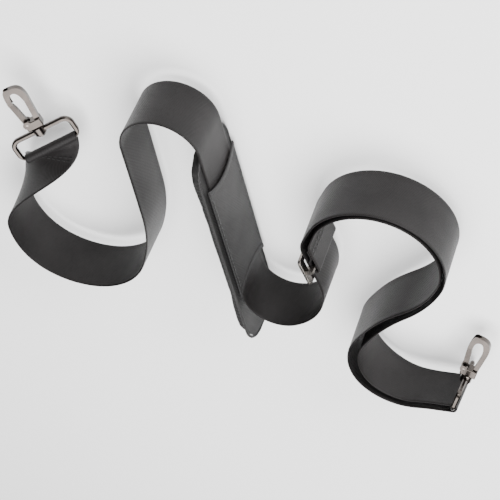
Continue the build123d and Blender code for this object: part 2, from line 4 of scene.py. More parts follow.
import bmesh
import bpy
from mathutils import Matrix, Vector


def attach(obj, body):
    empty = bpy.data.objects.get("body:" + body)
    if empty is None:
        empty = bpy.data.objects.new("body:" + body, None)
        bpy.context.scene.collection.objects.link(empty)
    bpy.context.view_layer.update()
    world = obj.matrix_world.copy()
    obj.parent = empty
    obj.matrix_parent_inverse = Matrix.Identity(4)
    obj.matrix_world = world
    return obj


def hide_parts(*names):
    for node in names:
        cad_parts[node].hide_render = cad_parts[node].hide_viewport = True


bl_info = {
    "name": "Padded Instrument Strap",
    "version": (1, 0, 0),
    "blender": (4, 5, 0),
    "location": "3D View > Sidebar > Strap",
    "description": "Dresses the packed strap model with woven, sewn and metal finishes",
    "category": "Object",
}

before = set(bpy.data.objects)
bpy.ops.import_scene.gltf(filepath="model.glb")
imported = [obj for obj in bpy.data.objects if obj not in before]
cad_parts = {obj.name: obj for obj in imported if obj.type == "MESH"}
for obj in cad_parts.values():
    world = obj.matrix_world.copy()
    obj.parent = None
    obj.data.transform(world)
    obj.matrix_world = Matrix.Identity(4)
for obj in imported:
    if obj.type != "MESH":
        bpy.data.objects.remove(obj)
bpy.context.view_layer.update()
MM = 0.001

# ---- where the strap's own plan sits in the row frame, in millimetres ----
PLAN_SHIFT = Vector((-4.0755, 12.3958, 9.85))

# ---- webbing, the same plan as the solid ----
WEB_W = 50.0
WEB_T = 1.6
RUN_START = Vector((210.0, 75.0, 0.0))
RUN_HEADING = 109.0
RUN = [
    (30.0, 24.0), (41.0, 42.0), (113.0, 93.0), (72.0, 25.0), (82.0, 1.0), (108.0, -178.0),
    (178.0, 0.0), (60.0, 113.0), (77.0, 78.0), (40.0, 0.0), (13.0, -41.0), (16.0, -1.0),
    (187.0, -179.0), (51.0, -23.0), (64.0, 19.0), (91.0, 95.0), (20.0, 30.0),
]
PAD_RUN = 6
SLIDER_RUN = 9
SLIDER_AT = 22.0
LAYER_GAP = 7.0
END_A_AT = Vector((195.0, -23.0, 17.8))
END_A_BAR = Vector((-32.7, -28.7, -23.1))
END_A_LOW_PULL = Vector((222.5, 16.7, -4.3))
END_A_TOP_PULL = Vector((146.2, -4.4, 23.4))
END_A_LOW_REACH = 34.6
END_A_TOP_REACH = 43.1
END_A_FLAT = 1.5
END_B_TWIST = 16.0
END_B_FLAT = 18.0
END_B_ROLL = 18.0
ROLL_REACH = 78.0      # length over which the webbing rolls into the tilt of end B
END_A_TWIST = 110.0    # rough length of the twist, for the number of ribs
FLAP_SHARE = 0.25      # how much of the twist the sewn flap covers
FLAP_LENGTH = 26.0     # rough length of the sewn flap, for the number of ribs
LOOP_R = 2.6
LOOP_SLACK = 4.5
FOLD_LEAN = 40.0
FLAP = 9.0
LOOP_AIR = 0.1         # between the loop's flap and the layer it is sewn to
FOLD_STEP = 0.6        # between ribs in a tight fold
LOOP_STEP = 0.7
# how far the sewn flap stands off the layer under it, as (share, millimetres)
FLAP_DROP = [(0.0, LAYER_GAP), (0.5, 3.2), (0.72, 2.0), (1.0, 1.8)]
# half thickness across the band from the selvedge inwards, as (place, millimetres)
SELVEDGE = [(0.0, 0.30), (0.008, 0.62), (0.025, 0.84), (0.05, 0.86), (0.075, 0.74)]
# gap between the two layers along the return, as (share, millimetres)
RETURN_GAP = [(0.0, 7.0), (0.08, 5.0), (0.25, 4.2), (0.5, 4.4), (0.7, 8.5), (0.86, 10.0), (1.0, 7.0)]

# ---- pad, in its own plane: x along the run, y up, z away from the sleeve ----
PAD_L = 232.0
PAD_W = 64.0
PAD_FROM = 4.0
PAD_ROUND = 24.0
PAD_D = 13.5
PAD_SKIN = 1.2
STRAP_AIR = 0.35
PIPING_R = 1.4
SLEEVE_FROM = 34.0
SLEEVE_L = 134.0
SLEEVE_W = 61.0
HEM_DEPTH = 9.0
FRONT_FACE = WEB_T / 2 + STRAP_AIR
FRONT_TOP = FRONT_FACE + PAD_SKIN
SWELL_CAP = 2.4        # furthest a point of the cushion may move
CROWN_FROM = 2.0       # the cushion crowns above this height over the front cover
CROWN = 0.6
SWELL_ROOM = 1.2       # furthest the cushion may stand past its own depth
TOUCH_AIR = 0.1
SIM_FRAMES = 20
CLOTH_MASS = 0.3
PANEL_LINES = 96
PANEL_ROWS = 16
PANEL_INSET = 0.2
PANEL_END = 0.3
PANEL_NARROW = 0.6     # least half width of the panel at its ends
PANEL_T = 0.7
RIM_W = 6.0            # the panel dips to the piping over this width
RIM_DIP = 0.35
PANEL_LIFT = 0.15
SLEEVE_LINES = 70
SLEEVE_ROWS = 30
SLEEVE_T = 1.0
FLANK_W = 3.0          # sewn-down width along each side of the sleeve
HEM_ROWS = 36
HEM_INSET = 0.4
# closed cross-section of the hem binding, from the hem inwards
HEM_SECTION = [(-0.6, 0.1), (-0.3, -0.45), (0.8, -0.62), (2.6, -0.58), (4.3, -0.5), (4.8, -0.05)]
PIPING_AIR = 0.05
PIPING_SIDES = 12
PIPING_STEP = 3.0
PIPING_LUMP = 0.05     # change of the cord's radius

# ---- rounding of the edges of the metal pieces, in metres ----
EASED_EDGES = {
    "hook_body_a": 0.0011, "hook_body_b": 0.0011, "hook_gate_a": 0.0006, "hook_gate_b": 0.0006,
    "swivel_ring_a": 0.0004, "swivel_ring_b": 0.0004,
}


# ------------------------------------------------------------------ plan
def heading(deg):
    return Vector((math.cos(math.radians(deg)), math.sin(math.radians(deg)), 0.0))


def left_of(deg):
    return heading(deg + 90.0)


def advance(point, deg, length, turn):
    if turn == 0:
        return point + heading(deg) * length, deg
    radius = length / math.radians(turn)
    centre = point + left_of(deg) * radius
    return centre - left_of(deg + turn) * radius, deg + turn


def walk(pieces, point, deg, step):
    """Evenly spaced (point, heading) along straight and round pieces."""
    stations = [(point.copy(), deg)]
    for length, turn in pieces:
        count = max(1, round(length / step))
        for k in range(1, count + 1):
            share = k / count
            stations.append(advance(point, deg, length * share, turn * share))
        point, deg = advance(point, deg, length, turn)
    return stations


def run_state(index):
    point, deg = RUN_START, RUN_HEADING
    for length, turn in RUN[:index]:
        point, deg = advance(point, deg, length, turn)
    return point, deg


def ramp(table, share):
    """Smooth value between the pairs of a table."""
    for (a, low), (b, high) in zip(table, table[1:]):
        if share <= b:
            t = (share - a) / (b - a)
            t = t * t * (3 - 2 * t)
            return low + (high - low) * t
    return table[-1][1]


def pad_matrix():
    """Places the pad's own plane in the row frame, in metres."""
    point, deg = run_state(PAD_RUN)
    x = heading(deg)
    z = -left_of(deg)
    y = z.cross(x)
    matrix = Matrix((x, y, z)).transposed().to_4x4()
    matrix.translation = point + Vector((0, 0, WEB_W / 2)) + PLAN_SHIFT
    return Matrix.Diagonal((MM, MM, MM, 1.0)) @ matrix


# ------------------------------------------------------------------ ribs of the webbing
def rolled_rib(point, deg, offset, roll=0.0):
    """(low point, top point, side) of the webbing, on edge or rolled about its middle."""
    bar = Vector((0, 0, 1)) * math.cos(roll) + left_of(deg) * math.sin(roll)
    side = bar.cross(heading(deg))
    middle = point + side * offset + Vector((0, 0, WEB_W / 2))
    return middle - bar * (WEB_W / 2), middle + bar * (WEB_W / 2), side


def roll_before(distance):
    """Roll of the webbing at a distance before the flat end B."""
    share = max(0.0, 1.0 - distance / ROLL_REACH)
    return math.radians(END_B_ROLL) * share * share * (3 - 2 * share)


def station_rolls(stations):
    distance = END_B_TWIST
    rolls = [roll_before(distance)]
    for (point, _), (after, _) in zip(stations[-2::-1], stations[:0:-1]):
        distance += (after - point).length
        rolls.append(roll_before(distance))
    return rolls[::-1]


def curve_point(points, t):
    a, b, c, d = points
    r = 1 - t
    return a * r ** 3 + b * (3 * r * r * t) + c * (3 * r * t * t) + d * t ** 3


def curve_pull(points, t):
    a, b, c, d = points
    r = 1 - t
    return (b - a) * (r * r) + (c - b) * (2 * r * t) + (d - c) * (t * t)


def end_a_frame():
    bar = END_A_BAR.normalized()
    along = (END_A_LOW_PULL + END_A_TOP_PULL) * 0.5 - END_A_AT
    along = (along - bar * along.dot(bar)).normalized()
    return along, bar.cross(along), bar


def end_a_edges():
    along, _, bar = end_a_frame()
    first = END_A_AT + along * END_A_FLAT
    half = bar * (WEB_W / 2)
    finish = RUN_START
    top_finish = finish + Vector((0, 0, WEB_W))
    lead = heading(RUN_HEADING)
    lows = [first - half, END_A_LOW_PULL, finish - lead * END_A_LOW_REACH, finish]
    tops = [first + half, END_A_TOP_PULL, top_finish - lead * END_A_TOP_REACH, top_finish]
    return lows, tops


def twist_rib(t, offset):
    lows, tops = end_a_edges()
    low = curve_point(lows, t)
    top = curve_point(tops, t)
    pull = curve_pull(lows, t) + curve_pull(tops, t)
    side = (top - low).cross(pull).normalized()
    return low + side * offset, top + side * offset, side


def fold_ribs(origin, along, side, bar, flat):
    """Half turn round a bar: in along one layer, round, and out along the other."""
    ribs = []
    half = bar * (WEB_W / 2)
    pieces = [(flat, 0.0), (math.pi * LAYER_GAP / 2, -180.0), (flat, 0.0)]
    for point, deg in walk(pieces, Vector((0, 0, 0)), 0.0, FOLD_STEP):
        middle = origin + along * point.x + side * point.y
        out = heading(deg + 90.0)
        ribs.append((middle - half, middle + half, along * out.x + side * out.y))
    return ribs


def webbing_ribs(step):
    """Every rib of the webbing from the sewn flap at ring A to the loop on the slider."""
    ribs = []
    along, side, bar = end_a_frame()
    flap_count = round(FLAP_LENGTH / step)
    for k in range(flap_count, 0, -1):
        t = k / flap_count
        low, top, out = twist_rib(FLAP_SHARE * t, -ramp(FLAP_DROP, t))
        ribs.append((low, top, -out))
    start = END_A_AT + along * END_A_FLAT - side * LAYER_GAP
    ribs += fold_ribs(start, -along, -side, bar, END_A_FLAT)
    twist_count = round(END_A_TWIST / step)
    for k in range(1, twist_count):
        ribs.append(twist_rib(k / twist_count, 0.0))
    run = walk(RUN, RUN_START, RUN_HEADING, step)
    for (point, deg), roll in zip(run, station_rolls(run)):
        ribs.append(rolled_rib(point, deg, 0.0, roll))
    end_point, end_deg = run_state(len(RUN))
    roll = math.radians(END_B_ROLL)
    tilt_bar = Vector((0, 0, 1)) * math.cos(roll) + left_of(end_deg) * math.sin(roll)
    lead = heading(end_deg)
    tilt_side = tilt_bar.cross(lead)
    tilt_at = end_point + lead * END_B_TWIST + Vector((0, 0, WEB_W / 2))
    count = round(END_B_TWIST / step)
    for k in range(1, count):
        ribs.append(end_rib(end_point, end_deg, k / count, 0.0))
    ribs += fold_ribs(tilt_at, lead, tilt_side, tilt_bar, END_B_FLAT)
    for k in range(count - 1, 0, -1):
        low, top, out = end_rib(end_point, end_deg, k / count, -LAYER_GAP)
        ribs.append((low, top, -out))
    back_point, back_deg = run_state(SLIDER_RUN + 1)
    back = walk(RUN[SLIDER_RUN + 1:], back_point, back_deg, step)
    rolls = station_rolls(back)
    total = len(back) - 1
    for k in range(total, -1, -1):
        point, deg = back[k]
        low, top, out = rolled_rib(point, deg, -ramp(RETURN_GAP, k / total), rolls[k])
        ribs.append((low, top, -out))
    ribs += slider_loop(back_point, back_deg)
    return ribs


def end_rib(point, deg, share, offset):
    """Between the end of the run and the flat end B."""
    roll = roll_before(END_B_TWIST * (1 - share))
    return rolled_rib(point + heading(deg) * (END_B_TWIST * share), deg, offset, roll)


def slider_loop(point, deg):
    """Round the centre bar and back between the layers."""
    lean = math.radians(FOLD_LEAN)
    slant = (2 * LOOP_R * math.cos(lean) - WEB_T - LOOP_AIR) / math.sin(lean)
    reach = RUN[SLIDER_RUN][0] - SLIDER_AT + LOOP_SLACK
    arc = LOOP_R * lean
    pieces = [(reach, 0.0), (math.pi * LOOP_R, -180.0), (2 * LOOP_SLACK, 0.0), (arc, -FOLD_LEAN),
              (slant, 0.0), (arc, FOLD_LEAN), (FLAP, 0.0)]
    foot = point - left_of(deg) * LAYER_GAP
    ribs = []
    for place, turn in walk(pieces, foot, deg + 180.0, LOOP_STEP)[1:]:
        ribs.append((place, place + Vector((0, 0, WEB_W)), left_of(turn)))
    return ribs


# ------------------------------------------------------------------ mesh helpers
def new_object(name, mesh):
    obj = bpy.data.objects.new(name, mesh)
    bpy.context.scene.collection.objects.link(obj)
    return obj


def finish_mesh(bm, name, smooth_angle=35.0):
    bmesh.ops.recalc_face_normals(bm, faces=bm.faces)
    for face in bm.faces:
        face.smooth = True
    mesh = bpy.data.meshes.new(name)
    bm.to_mesh(mesh)
    bm.free()
    mesh.set_sharp_from_angle(angle=math.radians(smooth_angle))
    return new_object(name, mesh)


def across_profile(rows):
    """(place across, half thickness) from the low selvedge to the top one."""
    inner, flat = SELVEDGE[-1]
    middle = [(inner + (1 - 2 * inner) * k / rows, flat) for k in range(1, rows)]
    return SELVEDGE + middle + [(1 - place, half) for place, half in reversed(SELVEDGE)]


def strip_mesh(name, ribs, rows):
    """Closed strip of webbing with rounded selvedges and a map in metres."""
    bm = bmesh.new()
    chart = bm.loops.layers.uv.new("weave")
    profile = across_profile(rows)
    length = 0.0
    places = []
    rings = []
    before = None
    for low, top, side in ribs:
        middle = (low + top) * 0.5
        if before is not None:
            length += (middle - before).length
        before = middle
        places.append(length * MM)
        ring = []
        for sign, order in ((1, profile), (-1, profile[::-1])):
            for place, half in order:
                point = low.lerp(top, place) + side * (sign * half) + PLAN_SHIFT
                ring.append((bm.verts.new(point * MM), place * WEB_W * MM))
        rings.append(ring)
    size = len(rings[0])
    for k in range(len(rings) - 1):
        for j in range(size):
            n = (j + 1) % size
            corners = [(rings[k][j], places[k]), (rings[k + 1][j], places[k + 1]),
                       (rings[k + 1][n], places[k + 1]), (rings[k][n], places[k])]
            face = bm.faces.new([c[0][0] for c in corners])
            for loop, (vert, along) in zip(face.loops, corners):
                loop[chart].uv = (along, vert[1])
    for ring, along in ((rings[0], places[0]), (rings[-1], places[-1])):
        face = bm.faces.new([v[0] for v in ring])
        for loop, vert in zip(face.loops, ring):
            loop[chart].uv = (along, vert[1])
    return finish_mesh(bm, name), length * MM


def rounded_outline(length, width, corner, count=10):
    """Rounded rectangle round the middle of the pad, counter-clockwise."""
    points = []
    for cx, cy, start in ((1, 1, 0), (-1, 1, 90), (-1, -1, 180), (1, -1, 270)):
        centre = Vector((cx * (length / 2 - corner), cy * (width / 2 - corner)))
        for k in range(count + 1):
            angle = math.radians(start + 90.0 * k / count)
            points.append(centre + Vector((math.cos(angle), math.sin(angle))) * corner)
    return points


def half_width_at(x):
    """Half width of the front panel at a place along it."""
    corner = PAD_ROUND - PANEL_INSET
    reach = PAD_L / 2 - PANEL_INSET
    half = PAD_W / 2 - PANEL_INSET
    over = abs(x) - (reach - corner)
    if over <= 0:
        return half
    over = min(over, corner)
    return half - corner + math.sqrt(max(corner * corner - over * over, 0.0))


# ------------------------------------------------------------------ shader helpers
def socket(group, name, kind, direction, default=None):
    item = group.interface.new_socket(name=name, in_out=direction, socket_type=kind)
    if default is not None:
        item.default_value = default
    return item


def link(tree, source, target):
    tree.links.new(source, target)


def math_node(tree, operation, first, second=None):
    node = tree.nodes.new("ShaderNodeMath")
    node.operation = operation
    for slot, value in ((0, first), (1, second)):
        if value is None:
            continue
        if isinstance(value, (int, float)):
            node.inputs[slot].default_value = value
        else:
            link(tree, value, node.inputs[slot])
    return node.outputs[0]


def turned_wave(tree, vector, angle, pitch_value, distortion):
    """Lines at an angle, a pitch apart, as a 0 to 1 value."""
    rotate = tree.nodes.new("ShaderNodeVectorRotate")
    rotate.rotation_type = "Z_AXIS"
    rotate.inputs["Angle"].default_value = math.radians(angle)
    link(tree, vector, rotate.inputs["Vector"])
    wave = tree.nodes.new("ShaderNodeTexWave")
    wave.wave_type = "BANDS"
    wave.bands_direction = "X"
    wave.inputs["Distortion"].default_value = distortion
    wave.inputs["Detail"].default_value = 1.0
    link(tree, rotate.outputs[0], wave.inputs["Vector"])
    link(tree, pitch_value, wave.inputs["Scale"])
    return wave.outputs["Fac"]


def weave_group():
    """Twill: a strong diagonal rib crossed by a weaker one, with thread-to-thread change."""
    group = bpy.data.node_groups.new("Twill Weave", "ShaderNodeTree")
    socket(group, "Vector", "NodeSocketVector", "INPUT")
    socket(group, "Lines", "NodeSocketFloat", "INPUT", 260.0)
    socket(group, "Cross", "NodeSocketFloat", "INPUT", 0.4)
    socket(group, "Height", "NodeSocketFloat", "OUTPUT")
    socket(group, "Thread", "NodeSocketFloat", "OUTPUT")
    nodes = group.nodes
    source = nodes.new("NodeGroupInput")
    sink = nodes.new("NodeGroupOutput")
    rib = turned_wave(group, source.outputs["Vector"], 42.0, source.outputs["Lines"], 0.6)
    cross = turned_wave(group, source.outputs["Vector"], -60.0, source.outputs["Lines"], 0.9)
    weaker = math_node(group, "MULTIPLY", cross, source.outputs["Cross"])
    total = math_node(group, "ADD", rib, weaker)
    noise = nodes.new("ShaderNodeTexNoise")
    noise.inputs["Detail"].default_value = 4.0
    link(group, source.outputs["Vector"], noise.inputs["Vector"])
    scale = math_node(group, "MULTIPLY", source.outputs["Lines"], 2.4)
    link(group, scale, noise.inputs["Scale"])
    uneven = math_node(group, "MULTIPLY", noise.outputs["Fac"], 0.5)
    link(group, math_node(group, "ADD", total, uneven), sink.inputs["Height"])
    link(group, noise.outputs["Fac"], sink.inputs["Thread"])
    return group


def rub_group():
    """Broad soft patches where cloth has been handled and catches the light."""
    group = bpy.data.node_groups.new("Soft Rub", "ShaderNodeTree")
    socket(group, "Vector", "NodeSocketVector", "INPUT")
    socket(group, "Scale", "NodeSocketFloat", "INPUT", 14.0)
    socket(group, "Amount", "NodeSocketFloat", "INPUT", 0.5)
    socket(group, "Mask", "NodeSocketFloat", "OUTPUT")
    nodes = group.nodes
    source = nodes.new("NodeGroupInput")
    sink = nodes.new("NodeGroupOutput")
    noise = nodes.new("ShaderNodeTexNoise")
    noise.inputs["Detail"].default_value = 3.0
    noise.inputs["Roughness"].default_value = 0.55
    link(group, source.outputs["Vector"], noise.inputs["Vector"])
    link(group, source.outputs["Scale"], noise.inputs["Scale"])
    spread = nodes.new("ShaderNodeMapRange")
    spread.inputs["From Min"].default_value = 0.35
    spread.inputs["From Max"].default_value = 0.70
    link(group, noise.outputs["Fac"], spread.inputs["Value"])
    link(group, math_node(group, "MULTIPLY", spread.outputs[0], source.outputs["Amount"]),
         sink.inputs["Mask"])
    return group


def brushed_group():
    """Fine scratches and cloudy plating on metal."""
    group = bpy.data.node_groups.new("Plating Wear", "ShaderNodeTree")
    socket(group, "Vector", "NodeSocketVector", "INPUT")
    socket(group, "Cloud", "NodeSocketFloat", "INPUT", 90.0)
    socket(group, "Scratch", "NodeSocketFloat", "INPUT", 900.0)
    socket(group, "Cloudiness", "NodeSocketFloat", "OUTPUT")
    socket(group, "Scratches", "NodeSocketFloat", "OUTPUT")
    nodes = group.nodes
    source = nodes.new("NodeGroupInput")
    sink = nodes.new("NodeGroupOutput")
    cloud = nodes.new("ShaderNodeTexNoise")
    cloud.inputs["Detail"].default_value = 5.0
    link(group, source.outputs["Vector"], cloud.inputs["Vector"])
    link(group, source.outputs["Cloud"], cloud.inputs["Scale"])
    stretch = nodes.new("ShaderNodeVectorMath")
    stretch.operation = "MULTIPLY"
    stretch.inputs[1].default_value = (1.0, 0.12, 1.0)
    link(group, source.outputs["Vector"], stretch.inputs[0])
    scratch = nodes.new("ShaderNodeTexNoise")
    scratch.inputs["Detail"].default_value = 2.0
    link(group, stretch.outputs[0], scratch.inputs["Vector"])
    link(group, source.outputs["Scratch"], scratch.inputs["Scale"])
    link(group, cloud.outputs["Fac"], sink.inputs["Cloudiness"])
    link(group, scratch.outputs["Fac"], sink.inputs["Scratches"])
    return group


def shared_group(name, builder):
    return bpy.data.node_groups.get(name) or builder()


def place_group(tree, name, builder):
    node = tree.nodes.new("ShaderNodeGroup")
    node.node_tree = shared_group(name, builder)
    return node


def blank_material(name):
    material = bpy.data.materials.new(name)
    material.use_nodes = True
    tree = material.node_tree
    tree.nodes.clear()
    shader = tree.nodes.new("ShaderNodeBsdfPrincipled")
    output = tree.nodes.new("ShaderNodeOutputMaterial")
    link(tree, shader.outputs[0], output.inputs["Surface"])
    return material, tree, shader


def cloth_vector(tree, use_map):
    """Metres along and across the cloth: its own map, or the pad's plane."""
    coords = tree.nodes.new("ShaderNodeTexCoord")
    if use_map:
        return coords.outputs["UV"]
    _, deg = run_state(PAD_RUN)
    vector = coords.outputs["Object"]
    for axis, angle in (("Z_AXIS", -deg), ("X_AXIS", -90.0)):
        rotate = tree.nodes.new("ShaderNodeVectorRotate")
        rotate.rotation_type = axis
        rotate.inputs["Angle"].default_value = math.radians(angle)
        link(tree, vector, rotate.inputs["Vector"])
        vector = rotate.outputs[0]
    return vector


def cloth_material(name, base, lit_rib_and_rub_colour, lines, cross, bump, rough, sheen, use_map=False):
    """Woven cloth: yarn colour in the shade, a lighter colour painted as highlight on the ribs of the
    weave and also laid in the random rub patches, weave, and surface.
    """
    material, tree, shader = blank_material(name)
    vector = cloth_vector(tree, use_map)
    weave = place_group(tree, "Twill Weave", weave_group)
    weave.inputs["Lines"].default_value = lines
    weave.inputs["Cross"].default_value = cross
    link(tree, vector, weave.inputs["Vector"])
    rub = place_group(tree, "Soft Rub", rub_group)
    rub.inputs["Amount"].default_value = 0.8
    link(tree, vector, rub.inputs["Vector"])
    # Painted highlight: the ribs of the weave take the lighter colour and the grooves keep the shaded
    # yarn colour, a painted shade; the random rub patches (wear) add the same lighter colour.
    rib_highlight_and_rub_mask = math_node(tree, "MULTIPLY", weave.outputs["Height"], 0.55)
    rib_highlight_and_rub_mask = math_node(tree, "ADD", rib_highlight_and_rub_mask, rub.outputs["Mask"])
    rib_highlight_and_rub_mask = math_node(tree, "MULTIPLY", rib_highlight_and_rub_mask, 0.7)
    colour = tree.nodes.new("ShaderNodeMix")
    colour.data_type = "RGBA"
    colour.inputs[6].default_value = (*base, 1.0)
    colour.inputs[7].default_value = (*lit_rib_and_rub_colour, 1.0)
    link(tree, rib_highlight_and_rub_mask, colour.inputs[0])
    link(tree, colour.outputs[2], shader.inputs["Base Color"])
    change = math_node(tree, "MULTIPLY", rub.outputs["Mask"], -0.10)
    link(tree, math_node(tree, "ADD", change, rough), shader.inputs["Roughness"])
    shader.inputs["Specular IOR Level"].default_value = 0.14
    shader.inputs["Sheen Weight"].default_value = sheen
    shader.inputs["Sheen Roughness"].default_value = 0.45
    height = tree.nodes.new("ShaderNodeBump")
    height.inputs["Strength"].default_value = bump
    height.inputs["Distance"].default_value = 0.0003
    link(tree, weave.outputs["Height"], height.inputs["Height"])
    link(tree, height.outputs[0], shader.inputs["Normal"])
    return material


def metal_material(name, base, worn, rough, coat=0.0):
    material, tree, shader = blank_material(name)
    coords = tree.nodes.new("ShaderNodeTexCoord")
    wear = place_group(tree, "Plating Wear", brushed_group)
    link(tree, coords.outputs["Object"], wear.inputs["Vector"])
    colour = tree.nodes.new("ShaderNodeMix")
    colour.data_type = "RGBA"
    colour.inputs[6].default_value = (*base, 1.0)
    colour.inputs[7].default_value = (*worn, 1.0)
    link(tree, wear.outputs["Cloudiness"], colour.inputs[0])
    link(tree, colour.outputs[2], shader.inputs["Base Color"])
    shader.inputs["Metallic"].default_value = 1.0
    shader.inputs["Coat Weight"].default_value = coat
    change = math_node(tree, "MULTIPLY", wear.outputs["Scratches"], 0.16)
    link(tree, math_node(tree, "ADD", change, rough), shader.inputs["Roughness"])
    height = tree.nodes.new("ShaderNodeBump")
    height.inputs["Strength"].default_value = 0.06
    height.inputs["Distance"].default_value = 0.0002
    link(tree, wear.outputs["Scratches"], height.inputs["Height"])
    link(tree, height.outputs[0], shader.inputs["Normal"])
    return material


def paint(obj, material):
    obj.data.materials.clear()
    obj.data.materials.append(material)


def ease_edges(obj, width):
    """Rounds the sharp edges of a metal piece."""
    bevel = obj.modifiers.new("Eased Edges", "BEVEL")
    bevel.width = width
    bevel.segments = 3
    bevel.limit_method = "ANGLE"
    bevel.angle_limit = math.radians(40.0)
    bevel.harden_normals = True


def repaint(nodes, material):
    for name in nodes:
        paint(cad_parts[name], material)


# ------------------------------------------------------------------ settings
class WebbingSettings(bpy.types.PropertyGroup):
    """Sizes and colours of the webbing."""

    step: bpy.props.FloatProperty(
        name="Step", description="Distance between ribs of the webbing mesh, in millimetres",
        default=2.2, min=0.5, max=8.0)
    rows: bpy.props.IntProperty(
        name="Rows", description="Faces across the flat of the webbing", default=10, min=2, max=40)
    colour: bpy.props.FloatVectorProperty(
        name="Colour", description="Yarn colour in the shade", subtype="COLOR", size=3,
        default=(0.0045, 0.0040, 0.0042), min=0.0, max=1.0)
    # Painted highlight: this colour goes on the ribs of the weave, with the shaded Colour left in the
    # grooves, and also in the rub patches.
    rib_highlight_and_rub_colour: bpy.props.FloatVectorProperty(
        name="Rib Highlight And Rub Colour", description="Yarn colour on the ribs of the weave", subtype="COLOR",
        size=3, default=(0.017, 0.0155, 0.0155), min=0.0, max=1.0)


class PadSettings(bpy.types.PropertyGroup):
    """Sizes and colours of the pad."""

    pressure: bpy.props.FloatProperty(
        name="Pressure", description="Air pressure that fills the cushion", default=4.0, min=0.0,
        max=20.0)
    voxel: bpy.props.FloatProperty(
        name="Voxel", description="Size of the cushion's remeshed faces", default=0.004,
        min=0.002, max=0.01, subtype="DISTANCE", unit="LENGTH")
    colour: bpy.props.FloatVectorProperty(
        name="Colour", description="Colour of the pad's cloth", subtype="COLOR", size=3,
        default=(0.0065, 0.0065, 0.0068), min=0.0, max=1.0)


class HardwareSettings(bpy.types.PropertyGroup):
    """Finish of the metal pieces."""

    colour: bpy.props.FloatVectorProperty(
        name="Colour", description="Colour of the plating", subtype="COLOR", size=3,
        default=(0.040, 0.034, 0.031), min=0.0, max=1.0)
    roughness: bpy.props.FloatProperty(
        name="Roughness", description="How dull the plating is", default=0.14, min=0.0, max=1.0)


class StageSettings(bpy.types.PropertyGroup):
    """Floor, light and camera."""

    key_power: bpy.props.FloatProperty(
        name="Key Light", description="Power of the large front light", default=22.0, min=0.0,
        max=500.0, subtype="POWER", unit="POWER")
    lens: bpy.props.FloatProperty(
        name="Lens", description="Focal length in millimetres", default=106.7, min=20.0, max=300.0)


# ------------------------------------------------------------------ operators
class STRAP_OT_webbing(bpy.types.Operator):
    """Builds the woven webbing from ring to ring and back to the slider"""

    bl_idname = "strap.webbing"
    bl_label = "Webbing"

    def execute(self, context):
        settings = context.scene.strap_webbing
        ribs = webbing_ribs(settings.step)
        obj, length = strip_mesh("strap_webbing", ribs, settings.rows)
        # The second colour is the painted highlight on the ribs of the weave, also used in the rub
        # patches.
        paint(obj, cloth_material("Black Webbing", settings.colour, settings.rib_highlight_and_rub_colour, 250.0, 0.35,
                                  0.5, 0.46, 0.0, use_map=True))
        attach(obj, "strap")
        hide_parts("webbing")
        return {"FINISHED"}


class STRAP_OT_pad_cushion(bpy.types.Operator):
    """Swells the foam and its ribbed back cover into a soft cushion"""

    bl_idname = "strap.pad_cushion"
    bl_label = "Pad Cushion"

    def execute(self, context):
        settings = context.scene.strap_pad
        obj = cushion_object(settings.voxel, settings.pressure)
        # The second colour is a painted highlight on the ribs of the weave, also used in the rub
        # patches.
        paint(obj, cloth_material("Ribbed Grip Cloth", (0.006, 0.006, 0.0063),
                                  (0.030, 0.029, 0.029), 95.0, 0.1, 1.0, 0.66, 0.02))
        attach(obj, "pad")
        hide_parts("pad_back_cover", "pad_foam")
        return {"FINISHED"}


class STRAP_OT_pad_covers(bpy.types.Operator):
    """Builds the front panel, the sleeve over the webbing, its hems and the piping"""

    bl_idname = "strap.pad_covers"
    bl_label = "Pad Covers"

    def execute(self, context):
        settings = context.scene.strap_pad
        # The second colour is a painted highlight on the ribs of the weave, also used in the rub
        # patches.
        twill = cloth_material("Pad Twill", settings.colour, (0.032, 0.031, 0.031), 150.0, 0.3,
                               1.0, 0.58, 0.0)
        panel = front_panel()
        paint(panel, twill)
        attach(panel, "pad")
        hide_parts("pad_front_cover")
        sleeve = sleeve_object()
        paint(sleeve, twill)
        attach(sleeve, "pad")
        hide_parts("pad_sleeve")
        # The second colour is a painted highlight on the ribs of the weave, also used in the rub
        # patches.
        hem_cloth = cloth_material("Hem Binding", (0.006, 0.006, 0.0062), (0.030, 0.029, 0.029),
                                   340.0, 0.2, 0.5, 0.52, 0.0)
        hems = hem_object()
        paint(hems, hem_cloth)
        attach(hems, "pad")
        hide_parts("pad_hems")
        piping = piping_object()
        # The second colour is a painted highlight on the ribs of the weave, also used in the rub
        # patches.
        paint(piping, cloth_material("Piping Cord", (0.007, 0.007, 0.0072), (0.034, 0.033, 0.033),
                                     190.0, 0.15, 0.8, 0.50, 0.0))
        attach(piping, "pad")
        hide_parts("pad_piping")
        return {"FINISHED"}


class STRAP_OT_stitching(bpy.types.Operator):
    """Gives the rows of stitches their thread"""

    bl_idname = "strap.stitching"
    bl_label = "Stitching"

    def execute(self, context):
        # The second colour is a painted highlight on the ribs of the weave, also used in the rub
        # patches.
        thread = cloth_material("Black Thread", (0.006, 0.006, 0.006), (0.03, 0.03, 0.03), 900.0,
                                0.1, 0.6, 0.45, 0.1)
        repaint(("end_a_stitching", "slider_stitching", "pad_stitching"), thread)
        return {"FINISHED"}


